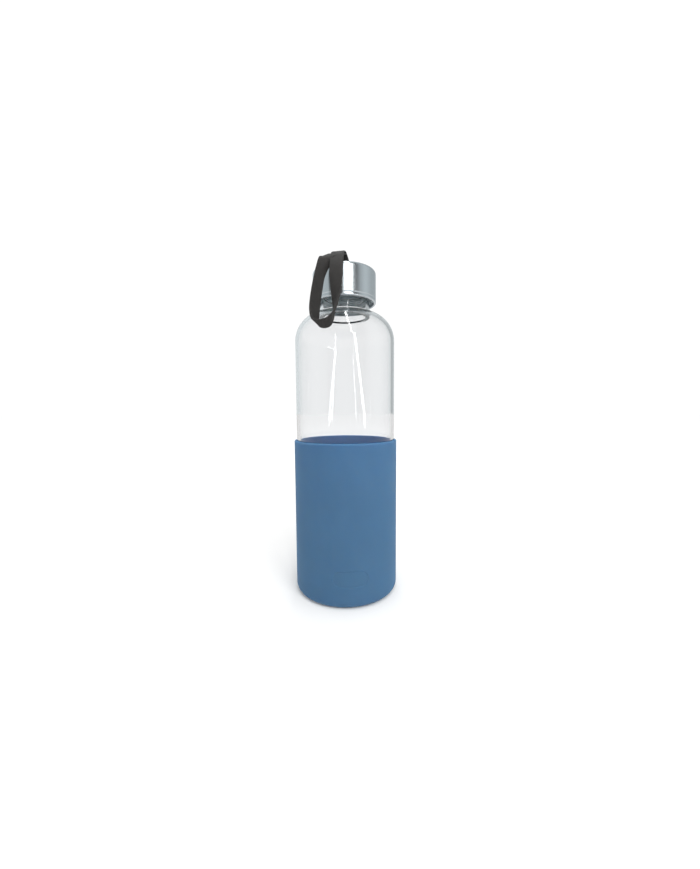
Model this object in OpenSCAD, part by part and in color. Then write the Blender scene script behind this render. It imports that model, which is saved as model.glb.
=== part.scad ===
// Sleeved glass water bottle with a screw cap and a webbing carry loop.
// Millimetres, +Z up, origin at the centre of the flat base.

/* [Glass bottle] */
// Outer diameter of the glass body
glass_od = 68.5; // [56:0.1:84]
// Height from the glass base to the mouth
glass_h = 209.7; // [170:0.05:252]
// Wall thickness of the body
glass_wall = 2; // [1.5:0.1:3]
// Thickness of the glass bottom
glass_bottom = 3.5; // [2.5:0.1:6]
// Outer radius of the bottom corner
glass_corner = 3; // [2.5:0.1:5]
// Rise of the middle of the base
glass_pushup = 1.2; // [0.5:0.1:2]
// Radius of the round shoulder
shoulder_r = 19.5; // [14:0.1:24]
// Outer diameter of the neck
neck_od = 34.6; // [28:0.1:42]
// Wall thickness of the neck
neck_wall = 2.3; // [2:0.1:3]
// Height from the foot of the neck to the mouth
neck_h = 18.9; // [16:0.1:26]

/* [Screw thread] */
// Rise of the thread in one turn
thread_lead = 4.5; // [4:0.1:6]
// Height of a thread ridge
thread_depth = 1.1; // [0.9:0.05:1.3]
// Turns of thread on the neck
neck_turns = 1.5; // [1:0.25:2]
// Turns of thread in the cap
cap_turns = 1.25; // [0.75:0.25:1.5]
// Clear space between a ridge and the opposite wall
thread_gap = 0.4; // [0.3:0.05:0.6]

/* [Silicone sleeve] */
// Height of the sleeve
sleeve_h = 106; // [80:1:130]
// Wall thickness of the sleeve
sleeve_wall = 1.5; // [1.2:0.1:3]
// Thickness under the glass
sleeve_floor = 2; // [1.5:0.1:4]
// Clear space round the glass
sleeve_gap = 0.25; // [0.2:0.05:0.5]
// Length of the plain pressed pad on the front
pad_len = 23; // [12:1:28]
// Height of the pressed pad
pad_h = 10.5; // [6:0.5:14]
// Height of the middle of the pad
pad_z = 20; // [16:1:60]
// Sideways place of the pad
pad_x = 2.5; // [0:0.5:5]
// Depth of the pad
pad_depth = 0.35; // [0.2:0.05:0.5]

/* [Cap] */
// Thickness of the liner's wall
liner_wall = 2.3; // [1.8:0.1:3.5]
// Height of the liner's plain edge below its thread
skirt_h = 2.65; // [0.5:0.05:6]
// Thickness of the steel
shell_wall = 0.6; // [0.5:0.1:1]
// Radius of the shell's top edge
shell_fillet = 2; // [1.2:0.1:3]
// Height of the rolled rim
rim_h = 2.4; // [1.6:0.2:4]
// Thickness of the rolled rim
rim_wall = 1.4; // [1.2:0.1:1.8]
// Thickness of the liner's top plate
liner_top = 1.6; // [1.2:0.1:2.4]
// Thickness of the sealing ring
gasket_t = 1.6; // [1.2:0.1:2.4]
// Clear space round the sealing ring
gasket_gap = 0.3; // [0.2:0.05:0.4]
// Clear space between the webbing's ring and the crown
ring_gap = 0.1; // [0.1:0.1:1]

/* [Carry loop] */
// Width of the webbing
web_w = 8.5; // [6:0.5:12]
// Thickness of the webbing
web_t = 1.2; // [0.8:0.1:1.6]
// Diameter of the pin under the crown
pin_d = 2.2; // [1.6:0.1:2.6]
// Clear space round the webbing
web_gap = 0.3; // [0.2:0.05:0.5]

/* [Hidden] */
$fn = 96;

// Glass
glass_r = glass_od / 2;
glass_z = sleeve_floor;
mouth_z = glass_z + glass_h;
neck_r = neck_od / 2;
neck_z = mouth_z - neck_h;
bore_r = neck_r - neck_wall;
shoulder_turn = acos(max(0, (neck_r - glass_r + shoulder_r) / shoulder_r));
shoulder_z = neck_z - shoulder_r * sin(shoulder_turn);
foot_r = glass_r - glass_corner - 4;
lip_r = neck_wall / 2 - 0.1;

// Sleeve
sleeve_in = glass_r + sleeve_gap;
sleeve_r = sleeve_in + sleeve_wall;
sleeve_corner = glass_corner + sleeve_gap + sleeve_wall;
rim_round = 0.75 * sleeve_wall;

// Threads
thread_root = 2.4;
thread_crest = 1;
thread_steps = 48;
neck_thread_z = mouth_z - 1.65 - neck_turns * thread_lead;
cap_thread_z = mouth_z - 0.525 - cap_turns * thread_lead;
// Half a turn out of step with the ridge on the neck
cap_thread_from = 360 * ((cap_thread_z - neck_thread_z) / thread_lead - 0.5);

// Cap, from the mouth upwards
gasket_z = mouth_z;
liner_z = gasket_z + gasket_t;
crown_space = 2 * web_t + pin_d + web_gap + ring_gap;
crown_z = liner_z + liner_top + crown_space;
cap_top = crown_z + shell_wall;
liner_bottom = cap_thread_z - thread_root / 2 - skirt_h;
cap_bottom = liner_bottom - rim_h;
liner_in = neck_r + thread_depth + thread_gap;
liner_r = liner_in + liner_wall;
cap_r = liner_r + shell_wall;
cap_thread_r = neck_r + thread_gap;
pin_z = liner_z + liner_top + web_t + pin_d / 2 + web_gap;
post_w = 3;
post_gap = 1;
pin_len = web_w + 2 * (post_gap + post_w);
slot_l = web_w + 2 * web_gap;
slot_w = 2 * web_t + 2 * web_gap;
grommet_lip = 1.4;
grommet_t = 0.8;

// Carry loop. Each stop of a route is [x, y, height above the crown] and the way its width runs.
run_gap = web_t / 2 + 0.1;
root_route = [
    [[0, 0, pin_z - cap_top], [1, 0, 0]],
    [[0, 0, 2], [1, 0, 0]],
    [[-0.6, -0.7, 6], [0.99, -0.15, 0]],
    [[-2.2, -2.5, 11.1], [0.95, -0.3, 0]]];
loop_route = [
    [[-2.8, -4.4, 11.1 + run_gap], [0.95, -0.3, 0]],
    [[-4.2, -10.5, 8.8 + run_gap], [0.93, -0.35, -0.1]],
    [[-4.4, -18.5, 3.2 + run_gap], [0.95, -0.2, -0.1]],
    [[-4.9, -25.6, -5], [0.97, -0.1, 0]],
    [[-5, -28.8, -16], [0.85, -0.5, 0.2]],
    [[-5, -32, -26.7], [0.55, -0.8, 0.3]],
    [[-6, -35.7, -35.7], [0.15, -0.9, 0.35]],
    [[-8.9, -37.5, -41.2], [-0.15, -0.88, 0.35]],
    [[-13.2, -36.8, -42.7], [-0.35, -0.85, 0.35]],
    [[-17.2, -34.8, -41.1], [-0.5, -0.8, 0.35]],
    [[-18.2, -31.8, -34.9], [-0.65, -0.75, 0.3]],
    [[-17.8, -28.8, -27], [-0.7, -0.75, 0.2]],
    [[-16.6, -26.4, -18], [-0.66, -0.73, 0.1]],
    [[-14.7, -24.2, -8.2], [-0.62, -0.7, -0.1]],
    [[-11.2, -20.4, 1.5], [-0.8, -0.28, -0.3]],
    [[-6.8, -12.4, 7.9 - run_gap], [-0.93, 0.25, 0.1]],
    [[-3.7, -7, 10 - run_gap], [-0.94, 0.3, 0]],
    [[-2.8, -4.4, 11.1 - run_gap], [-0.95, 0.3, 0]]];
pivot = [-2.2, -2.5, cap_top + 11.1];
pivot_turn = atan2(-0.3, 0.95);
route_spread = max(cap_r / 21.7, glass_od / 68.5) + (web_w + web_t - 9.7) / 43.4;
route_steps = 4;

// Points of an arc about [x, z]
function arc(x, z, r, from, to, n = 8) =
    [for (i = [0:n]) let (a = from + (to - from) * i / n) [x + r * cos(a), z + r * sin(a)]];

// Closed tube of rings that all hold the same number of points
module sweep(rings) {
    n = len(rings[0]);
    m = len(rings);
    points = [for (ring = rings) each ring];
    sides = [for (i = [0:m - 2], k = [0:n - 1])
        [i * n + k, (i + 1) * n + k, (i + 1) * n + (k + 1) % n, i * n + (k + 1) % n]];
    triangles = [for (q = sides) each [[q[0], q[1], q[2]], [q[0], q[2], q[3]]]];
    first = [for (k = [1:n - 2]) [0, k, k + 1]];
    last = [for (k = [1:n - 2]) [(m - 1) * n, (m - 1) * n + k + 1, (m - 1) * n + k]];
    polyhedron(points, concat(triangles, first, last), convexity = 8);
}

// Ridge of a screw thread: sunk below root_r, crest at crest_r, faded out at both ends
module thread(root_r, crest_r, sunk, z, turns, from = 0) {
    count = ceil(turns * thread_steps);
    sweep([for (i = [0:count])
        let (a = from + 360 * i / thread_steps,
             fade = min(1, min(i, count - i) / 5 + 0.02),
             tip = root_r + (crest_r - root_r) * fade,
             base = root_r - sunk * sign(crest_r - root_r),
             mid = z + thread_lead * i / thread_steps,
             half_root = thread_root / 2,
             half_tip = thread_crest / 2)
        [for (p = [[base, -half_root], [tip, -half_tip], [tip, half_tip], [base, half_root]])
            [p[0] * cos(a), p[0] * sin(a), mid + p[1]]]]);
}

function unit(v) = v / norm(v);

// Point a share t of the way from b to c on a smooth curve through a, b, c and d
function between(a, b, c, d, t) =
    (2 * b + (c - a) * t + (2 * a - 5 * b + 4 * c - d) * t * t
     + (3 * b - a - 3 * c + d) * t * t * t) / 2;

// The curve through a list of points, with route_steps stretches from each to the next
function smooth(p) =
    let (last = len(p) - 1,
         q = concat([2 * p[0] - p[1]], p, [2 * p[last] - p[last - 1]]))
    [for (i = [0:last - 1], k = [0:route_steps - 1])
        between(q[i], q[i + 1], q[i + 2], q[i + 3], k / route_steps),
     p[last]];

// Flat webbing of width w and thickness t along a route that starts above the crown
module webbing(route, w, t) {
    centre = smooth([for (stop = route)
        [stop[0].x * route_spread, stop[0].y * route_spread, cap_top + stop[0].z]]);
    across = smooth([for (stop = route) stop[1]]);
    last = len(centre) - 1;
    sweep([for (i = [0:last])
        let (along = unit(centre[min(i + 1, last)] - centre[max(i - 1, 0)]),
             side = unit(across[i] - (across[i] * along) * along),
             face = cross(along, side))
        [for (k = [[1, 1], [-1, 1], [-1, -1], [1, -1]])
            centre[i] + k[0] * w / 2 * side + k[1] * t / 2 * face]]);
}

module silicone_sleeve() {
    color("#5b7f9f") difference() {
        rotate_extrude() polygon(concat(
            [[0, 0]],
            arc(sleeve_r - sleeve_corner, sleeve_corner, sleeve_corner, -90, 0),
            arc(sleeve_r - rim_round, sleeve_h - rim_round, rim_round, 0, 90),
            [[sleeve_in, sleeve_h]],
            arc(sleeve_in - glass_corner - sleeve_gap, sleeve_floor + glass_corner + sleeve_gap,
                glass_corner + sleeve_gap, 0, -90),
            [[0, sleeve_floor]]));
        translate([pad_x, 0, pad_z]) intersection() {
            rotate([90, 0, 0]) linear_extrude(2 * sleeve_r) {
                square([pad_len - pad_h, pad_h], center = true);
                for (side = [-1, 1]) translate([side * (pad_len - pad_h) / 2, 0]) circle(d = pad_h);
            }
            translate([-pad_x, 0, -pad_h]) difference() {
                cylinder(r = 2 * sleeve_r, h = 2 * pad_h);
                translate([0, 0, -1]) cylinder(r = sleeve_r - pad_depth, h = 2 * pad_h + 2);
            }
        }
    }
}

module glass_body() {
    inner_r = glass_r - glass_wall;
    inner_shoulder = shoulder_r - glass_wall;
    inner_turn = acos(max(0, (bore_r - inner_r + inner_shoulder) / inner_shoulder));
    color("#dfe8ea", 0.4) union() {
        rotate_extrude() polygon(concat(
            [[0, glass_z + glass_pushup], [foot_r, glass_z + glass_pushup / 2],
             [foot_r + 2, glass_z]],
            arc(glass_r - glass_corner, glass_z + glass_corner, glass_corner, -90, 0),
            arc(glass_r - shoulder_r, shoulder_z, shoulder_r, 0, shoulder_turn, 14),
            [[neck_r, neck_z + 0.5]],
            arc(neck_r - lip_r, mouth_z - lip_r, lip_r, 0, 90, 5),
            arc(bore_r + lip_r, mouth_z - lip_r, lip_r, 90, 180, 5),
            [[bore_r, shoulder_z + inner_shoulder * sin(inner_turn) + 0.5]],
            arc(inner_r - inner_shoulder, shoulder_z, inner_shoulder, inner_turn, 0, 14),
            arc(inner_r - glass_corner, glass_z + glass_bottom + glass_corner,
                glass_corner, 0, -90),
            [[0, glass_z + glass_bottom + glass_pushup / 2]]));
        thread(neck_r, neck_r + thread_depth, 0.3, neck_thread_z, neck_turns);
    }
}

module cap_shell() {
    inner_fillet = shell_fillet - shell_wall;
    color("#b9bec2") difference() {
        rotate_extrude() polygon(concat(
            [[0, crown_z]],
            arc(liner_r - inner_fillet, crown_z - inner_fillet, inner_fillet, 90, 0),
            [[liner_r, liner_bottom], [cap_r - rim_wall, liner_bottom]],
            arc(cap_r - rim_wall + 0.5, cap_bottom + 0.5, 0.5, 180, 270, 4),
            arc(cap_r - 0.8, cap_bottom + 0.8, 0.8, 270, 360, 5),
            arc(cap_r - shell_fillet, cap_top - shell_fillet, shell_fillet, 0, 90),
            [[0, cap_top]]));
        translate([0, 0, cap_top])
            cube([slot_l + 2 * grommet_t, slot_w + 2 * grommet_t, 8], center = true);
    }
}

module cap_liner() {
    color("#4c4f52") {
        difference() {
            translate([0, 0, liner_bottom])
                cylinder(r = liner_r, h = liner_z + liner_top - liner_bottom);
            translate([0, 0, liner_bottom - 1])
                cylinder(r = liner_in, h = liner_z - liner_bottom + 1);
        }
        thread(liner_in, cap_thread_r, 0.3, cap_thread_z, cap_turns, cap_thread_from);
        for (side = [-1, 1]) translate([side * (pin_len - post_w) / 2, 0])
            difference() {
                translate([0, 0, liner_z + liner_top + crown_space / 2])
                    cube([post_w, 5, crown_space], center = true);
                translate([0, 0, pin_z]) rotate([0, 90, 0])
                    cylinder(d = pin_d, h = post_w + 2, center = true);
            }
    }
}

module cap_gasket() {
    color("#e8e8e4") translate([0, 0, gasket_z]) difference() {
        cylinder(r = liner_in - gasket_gap, h = gasket_t);
        translate([0, 0, -1]) cylinder(r = bore_r - 1, h = gasket_t + 2);
    }
}

module crown_grommet() {
    color("#26272a") difference() {
        translate([0, 0, crown_z]) {
            translate([0, 0, shell_wall / 2])
                cube([slot_l + 2 * grommet_t, slot_w + 2 * grommet_t, shell_wall], center = true);
            translate([0, 0, shell_wall]) linear_extrude(0.8) {
                square([slot_l + 2 * grommet_lip, slot_w + 2 * grommet_lip], center = true);
            }
        }
        translate([0, 0, crown_z]) cube([slot_l, slot_w, 10], center = true);
    }
}

module strap_pin() {
    color("#b9bec2") translate([0, 0, pin_z]) rotate([0, 90, 0])
        cylinder(d = pin_d, h = pin_len, center = true);
}

// Both runs of webbing, sewn round the pin and led up through the crown to the pivot
module strap_root() {
    color("#343230") difference() {
        union() {
            webbing(root_route, web_w, 2 * web_t);
            translate([0, 0, pin_z]) rotate([0, 90, 0])
                cylinder(r = pin_d / 2 + web_t, h = web_w, center = true);
            translate([route_spread * pivot.x, route_spread * pivot.y, pivot.z])
                rotate(pivot_turn) rotate([0, 90, 0]) cylinder(r = web_t, h = web_w, center = true);
        }
        translate([0, 0, pin_z]) rotate([0, 90, 0])
            cylinder(d = pin_d, h = web_w + 2, center = true);
    }
}

// The free loop, one flat band from the upper run down and back to the lower run
module strap_loop() {
    color("#343230") webbing(loop_route, web_w, web_t);
}

silicone_sleeve();
glass_body();
cap_shell();
cap_liner();
cap_gasket();
crown_grommet();
strap_pin();
strap_root();
strap_loop();
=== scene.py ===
"""Sleeved glass water bottle with a steel screw cap and a webbing carry loop.

Every length is in metres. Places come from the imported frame, and each sub-assembly is a class
that builds its own meshes and gives them their finish.
"""
import logging
import math
from dataclasses import dataclass
from enum import Enum
from typing import Callable, Iterable, Sequence

import bpy
import numpy as np
from mathutils import Matrix, Vector


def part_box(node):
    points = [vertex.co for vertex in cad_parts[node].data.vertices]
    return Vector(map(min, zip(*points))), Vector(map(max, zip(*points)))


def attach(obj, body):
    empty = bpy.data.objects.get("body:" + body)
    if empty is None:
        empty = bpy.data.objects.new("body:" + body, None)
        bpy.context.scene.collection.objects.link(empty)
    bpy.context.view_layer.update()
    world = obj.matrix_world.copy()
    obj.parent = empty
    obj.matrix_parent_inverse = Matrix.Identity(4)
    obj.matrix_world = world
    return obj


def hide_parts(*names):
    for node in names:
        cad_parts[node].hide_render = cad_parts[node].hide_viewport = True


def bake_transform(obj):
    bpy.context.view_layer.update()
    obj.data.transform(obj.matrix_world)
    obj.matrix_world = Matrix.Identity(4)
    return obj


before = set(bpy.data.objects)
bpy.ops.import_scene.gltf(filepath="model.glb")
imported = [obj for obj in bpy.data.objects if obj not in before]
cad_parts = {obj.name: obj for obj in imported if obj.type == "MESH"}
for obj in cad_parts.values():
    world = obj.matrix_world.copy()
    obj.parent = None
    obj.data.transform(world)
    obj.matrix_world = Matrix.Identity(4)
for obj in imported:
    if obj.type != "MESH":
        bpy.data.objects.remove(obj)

LOG = logging.getLogger("bottle")
MM = 0.001
Point = tuple[float, float]
Stop = tuple[tuple[float, float, float], tuple[float, float, float]]
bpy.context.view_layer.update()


class Body(Enum):
    """Bodies of the frame that pieces ride on."""

    SLEEVE = "sleeve"
    GLASS = "glass"
    SEAL = "seal"
    CAP = "cap"
    STRAP = "strap"


class Slot(Enum):
    """Material slots of the record."""

    SILICONE = "silicone"
    GLASS = "glass"
    STEEL = "steel"
    GASKET = "gasket_silicone"
    GROMMET = "grommet_plastic"
    WEBBING = "webbing"


# ---------------------------------------------------------------------------------------------
# Shader maths
# ---------------------------------------------------------------------------------------------


class NodeTree:
    """A node tree that is filled one node at a time."""

    def __init__(self, tree: bpy.types.NodeTree) -> None:
        """Empty the tree and keep it.

        Args:
            tree: the tree to fill.
        """
        self.tree = tree
        self.tree.nodes.clear()

    def node(self, kind: str, settings: dict | None = None, inputs: dict | None = None) -> bpy.types.Node:
        """Add a node.

        Args:
            kind: the node's type.
            settings: the node's own settings, by name; "stops" fills a colour ramp.
            inputs: values, sockets or Values for its input sockets, by name or index.

        Returns:
            The new node.
        """
        made = self.tree.nodes.new(kind)
        for key, value in (settings or {}).items():
            if key == "stops":
                while len(made.color_ramp.elements) < len(value):
                    made.color_ramp.elements.new(0.5)
                for element, (place, colour) in zip(made.color_ramp.elements, value):
                    element.position = place
                    element.color = colour
            else:
                setattr(made, key, value)
        for key, value in (inputs or {}).items():
            self.feed(made.inputs[key], value)
        return made

    def feed(self, socket: bpy.types.NodeSocket, value: object) -> None:
        """Link a socket or Value to an input, or set its default.

        Args:
            socket: the input socket.
            value: what goes into it.
        """
        if isinstance(value, Value):
            self.tree.links.new(value.socket, socket)
        elif isinstance(value, bpy.types.NodeSocket):
            self.tree.links.new(value, socket)
        else:
            socket.default_value = value


class Value:
    """A number socket that takes part in Python expressions."""

    def __init__(self, shader: "Shader", socket: bpy.types.NodeSocket) -> None:
        """Keep the socket and the shader that it belongs to.

        Args:
            shader: the shader that holds the socket.
            socket: the output socket with the number.
        """
        self.shader = shader
        self.socket = socket

    def _with(self, operation: str, first: "Value | float", second: "Value | float") -> "Value":
        """Join two numbers in a Math node.

        Args:
            operation: the node's operation.
            first: its first input.
            second: its second input.

        Returns:
            The result.
        """
        return self.shader.maths(operation, first, second)

    def __add__(self, other: "Value | float") -> "Value":
        """Add."""
        return self._with("ADD", self, other)

    def __radd__(self, other: float) -> "Value":
        """Add from the left."""
        return self._with("ADD", other, self)

    def __sub__(self, other: "Value | float") -> "Value":
        """Subtract."""
        return self._with("SUBTRACT", self, other)

    def __rsub__(self, other: float) -> "Value":
        """Subtract from a number on the left."""
        return self._with("SUBTRACT", other, self)

    def __mul__(self, other: "Value | float") -> "Value":
        """Multiply."""
        return self._with("MULTIPLY", self, other)

    def __rmul__(self, other: float) -> "Value":
        """Multiply from the left."""
        return self._with("MULTIPLY", other, self)


class Shader(NodeTree):
    """A node material around one Principled BSDF."""

    def __init__(self, name: str) -> None:
        """Start an empty material.

        Args:
            name: the material's name.
        """
        self.material = bpy.data.materials.new(name)
        self.material.use_nodes = True
        super().__init__(self.material.node_tree)
        self.surface = self.node("ShaderNodeBsdfPrincipled")
        self.output = self.node("ShaderNodeOutputMaterial")
        self.show(self.surface)

    def show(self, shader: bpy.types.Node) -> None:
        """Make a shader node the material's surface.

        Args:
            shader: the node.
        """
        self.tree.links.new(shader.outputs[0], self.output.inputs["Surface"])

    def maths(self, operation: str, first: "Value | float", second: "Value | float" = 0.0) -> Value:
        """Add a Math node.

        Args:
            operation: the node's operation.
            first: its first input.
            second: its second input.

        Returns:
            The result.
        """
        made = self.node("ShaderNodeMath", {"operation": operation}, {0: first, 1: second})
        return Value(self, made.outputs[0])

    def stretched(self, scale: Sequence[float]) -> bpy.types.NodeSocket:
        """Object coordinates, stretched along each axis.

        Args:
            scale: the stretch along X, Y and Z.

        Returns:
            The coordinates' socket.
        """
        place = self.node("ShaderNodeTexCoord").outputs["Object"]
        return self.node("ShaderNodeMapping", {}, {"Vector": place, "Scale": scale}).outputs[0]

    def noise(self, scale: float, detail: float = 2.0, stretch: Sequence[float] = (1, 1, 1)) -> Value:
        """Noise on Object coordinates.

        Args:
            scale: waves per metre before the stretch.
            detail: octaves.
            stretch: how much finer the noise is along each axis.

        Returns:
            The noise, from 0 to 1.
        """
        made = self.node(
            "ShaderNodeTexNoise",
            {"noise_dimensions": "3D"},
            {"Vector": self.stretched(stretch), "Scale": scale, "Detail": detail},
        )
        return Value(self, made.outputs["Fac"])

    def attribute(self, name: str) -> Value:
        """A number stored on the piece's own mesh.

        Args:
            name: the attribute's name.

        Returns:
            The number.
        """
        made = self.node("ShaderNodeAttribute", {"attribute_name": name})
        return Value(self, made.outputs["Fac"])

    def mixed(self, factor: "Value | float", low: Sequence[float], high: Sequence[float]) -> object:
        """Blend two colours.

        Args:
            factor: 0 for low, 1 for high.
            low: the first colour.
            high: the second colour.

        Returns:
            The colour's socket.
        """
        made = self.node("ShaderNodeMix", {"data_type": "RGBA"}, {0: factor, 6: (*low, 1), 7: (*high, 1)})
        return made.outputs[2]

    def bump(self, height: Value, distance: float, strength: float = 1.0) -> None:
        """Bump the surface.

        Args:
            height: the height, in units of distance.
            distance: metres that a height of 1 stands for.
            strength: share of the effect.
        """
        inputs = {"Height": height, "Distance": distance, "Strength": strength}
        self.set(Normal=self.node("ShaderNodeBump", {}, inputs).outputs[0])

    def set(self, **values: object) -> None:
        """Set inputs of the surface.

        Args:
            values: the inputs, by name with spaces written as underscores.
        """
        for key, value in values.items():
            self.feed(self.surface.inputs[key.replace("_", " ")], value)


# ---------------------------------------------------------------------------------------------
# Finishes
# ---------------------------------------------------------------------------------------------


@dataclass(frozen=True)
class MattSilicone:
    """Moulded silicone with a powdery face and a faint mottled tone."""

    name: str = "matt_blue_silicone"
    deep: tuple[float, float, float] = (0.052, 0.118, 0.208)
    pale: tuple[float, float, float] = (0.060, 0.134, 0.234)
    roughness: float = 0.6

    def build(self) -> bpy.types.Material:
        """Make the material.

        Returns:
            The finished material.
        """
        s = Shader(self.name)
        cloud = s.noise(38.0, 3.0)
        grain = s.noise(2600.0, 2.0)
        s.set(
            Base_Color=s.mixed(cloud, self.deep, self.pale),
            Roughness=cloud * 0.12 + (self.roughness - 0.06),
            Specular_IOR_Level=0.12,
            Subsurface_Weight=0.75,
            Subsurface_Radius=(0.35, 0.65, 1.0),
            Subsurface_Scale=0.007,
        )
        s.bump(grain + cloud * 2.0, 0.00003, 0.6)
        return s.material


@dataclass(frozen=True)
class ClearGlass:
    """Fire-polished clear glass with the slow ripple of a blown wall."""

    name: str = "clear_glass"
    tint: tuple[float, float, float, float] = (0.93, 0.935, 0.94, 1.0)
    index: float = 1.47

    def build(self) -> bpy.types.Material:
        """Make the material.

        Returns:
            The finished material.
        """
        s = Shader(self.name)
        ripple = s.noise(30.0, 1.0, (1.0, 1.0, 0.3))
        s.set(Base_Color=self.tint, Roughness=0.0, IOR=self.index, Transmission_Weight=1.0)
        s.bump(ripple, 0.0003, 0.06)
        path = s.node("ShaderNodeLightPath").outputs
        lamps = s.maths("MAXIMUM", Value(s, path["Is Shadow Ray"]), Value(s, path["Is Diffuse Ray"]))
        clear = s.node("ShaderNodeBsdfTransparent", {}, {"Color": (0.9, 0.92, 0.92, 1.0)})
        s.show(s.node("ShaderNodeMixShader", {}, {0: lamps, 1: s.surface.outputs[0], 2: clear.outputs[0]}))
        return s.material


@dataclass(frozen=True)
class TurnedSteel:
    """Satin stainless steel with a fine turned grain round the axis and handling marks."""

    name: str = "satin_turned_steel"
    base: tuple[float, float, float] = (0.61, 0.655, 0.685)
    bright: tuple[float, float, float] = (0.68, 0.73, 0.76)
    roughness: float = 0.26

    def build(self) -> bpy.types.Material:
        """Make the material.

        Returns:
            The finished material.
        """
        s = Shader(self.name)
        lines = s.noise(60.0, 2.0, (1.0, 1.0, 120.0))
        smear = s.noise(30.0, 2.0)
        s.set(
            Base_Color=s.mixed(lines, self.base, self.bright),
            Metallic=1.0,
            Roughness=lines * 0.05 + smear * 0.03 + (self.roughness - 0.04),
        )
        return s.material


@dataclass(frozen=True)
class MouldedPlastic:
    """Moulded plastic with a fine spark-eroded texture."""

    name: str
    deep: tuple[float, float, float]
    pale: tuple[float, float, float]
    roughness: float = 0.42

    def build(self) -> bpy.types.Material:
        """Make the material.

        Returns:
            The finished material.
        """
        s = Shader(self.name)
        cloud = s.noise(60.0, 2.0)
        grain = s.noise(3200.0, 2.0)
        s.set(
            Base_Color=s.mixed(cloud, self.deep, self.pale),
            Roughness=cloud * 0.14 + (self.roughness - 0.07),
        )
        s.bump(grain, 0.00002, 0.5)
        return s.material


@dataclass(frozen=True)
class SealSilicone:
    """Milky silicone of the sealing ring."""

    name: str = "milky_seal_silicone"
    deep: tuple[float, float, float] = (0.62, 0.62, 0.59)
    pale: tuple[float, float, float] = (0.74, 0.74, 0.71)

    def build(self) -> bpy.types.Material:
        """Make the material.

        Returns:
            The finished material.
        """
        s = Shader(self.name)
        cloud = s.noise(120.0, 2.0)
        s.set(
            Base_Color=s.mixed(cloud, self.deep, self.pale),
            Roughness=cloud * 0.1 + 0.38,
            Subsurface_Weight=0.2,
            Subsurface_Scale=0.001,
        )
        s.bump(s.noise(1800.0), 0.00002, 0.4)
        return s.material


@dataclass(frozen=True)
class WovenWebbing:
    """Charcoal woven webbing with painted shade: the gaps between the yarns are painted dark, the yarn tops
    lighter.
    """

    name: str = "charcoal_webbing"
    # gap is painted shade for the hollows between the yarns; yarn is the colour of the lit yarn tops
    gap: tuple[float, float, float] = (0.005, 0.0048, 0.0046)
    yarn: tuple[float, float, float] = (0.044, 0.041, 0.039)

    def build(self) -> bpy.types.Material:
        """Make the material.

        Returns:
            The finished material.
        """
        s = Shader(self.name)
        height = s.attribute("yarn")
        fibre = s.noise(5200.0, 3.0)
        tone = s.noise(420.0, 2.0)
        s.set(
            # painted shade: the colour darkens from the yarn tops into the gaps with the yarn height, plus
            # random tone
            Base_Color=s.mixed(height * 0.75 + tone * 0.35, self.gap, self.yarn),
            Roughness=fibre * 0.2 + 0.68,
            Specular_IOR_Level=0.35,
            Sheen_Weight=0.05,
            Sheen_Roughness=0.4,
        )
        s.bump(fibre, 0.00005, 0.6)
        return s.material


@dataclass(frozen=True)
class SewingThread:
    """Black bonded sewing thread."""

    name: str = "black_sewing_thread"

    def build(self) -> bpy.types.Material:
        """Make the material.

        Returns:
            The finished material.
        """
        s = Shader(self.name)
        twist = s.noise(3000.0, 1.0)
        s.set(Base_Color=s.mixed(twist, (0.02, 0.02, 0.02), (0.05, 0.05, 0.05)), Roughness=twist * 0.2 + 0.5)
        return s.material


# ---------------------------------------------------------------------------------------------
# Mesh helpers
# ---------------------------------------------------------------------------------------------


def arc(x: float, z: float, radius: float, start: float, end: float, count: int = 12) -> list[Point]:
    """Points of an arc in the profile plane.

    Args:
        x: distance of its centre from the axis.
        z: height of its centre.
        radius: its radius.
        start: first angle, in degrees.
        end: last angle, in degrees.
        count: number of stretches.

    Returns:
        The points, first to last.
    """
    turns = [math.radians(start + (end - start) * i / count) for i in range(count + 1)]
    return [(x + radius * math.cos(a), z + radius * math.sin(a)) for a in turns]


def supported(profile: Sequence[Point], margin: float = 0.2 * MM) -> list[Point]:
    """Add a point close to each end of every long straight stretch, so that shading stays crisp.

    Args:
        profile: the points, in order.
        margin: how far from the end each new point is.

    Returns:
        The profile with the new points.
    """
    out: list[Point] = []
    for (x0, z0), (x1, z1) in zip(profile, profile[1:]):
        out.append((x0, z0))
        length = math.hypot(x1 - x0, z1 - z0)
        if length > 6 * margin:
            for share in (margin / length, 1 - margin / length):
                out.append((x0 + (x1 - x0) * share, z0 + (z1 - z0) * share))
    out.append(profile[-1])
    return out


def rows(x: float, low: float, high: float, step: float) -> list[Point]:
    """Points up or down a straight wall, without its two ends.

    Args:
        x: distance of the wall from the axis.
        low: the first height.
        high: the last height.
        step: the wanted distance from point to point.

    Returns:
        The points, first to last.
    """
    count = max(2, round(abs(high - low) / step))
    return [(x, low + (high - low) * i / count) for i in range(1, count)]


def mesh_object(
    name: str, points: Iterable, faces: Iterable, finish: bpy.types.Material
) -> bpy.types.Object:
    """Make a smooth-shaded object from points and faces.

    Args:
        name: the piece's name.
        points: its vertices.
        faces: its faces.
        finish: its material.

    Returns:
        The object, linked to the scene.
    """
    mesh = bpy.data.meshes.new(name)
    mesh.from_pydata([tuple(p) for p in points], [], [tuple(f) for f in faces])
    mesh.validate()
    mesh.update()
    mesh.polygons.foreach_set("use_smooth", [True] * len(mesh.polygons))
    mesh.materials.append(finish)
    obj = bpy.data.objects.new(name, mesh)
    bpy.context.scene.collection.objects.link(obj)
    return obj


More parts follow.
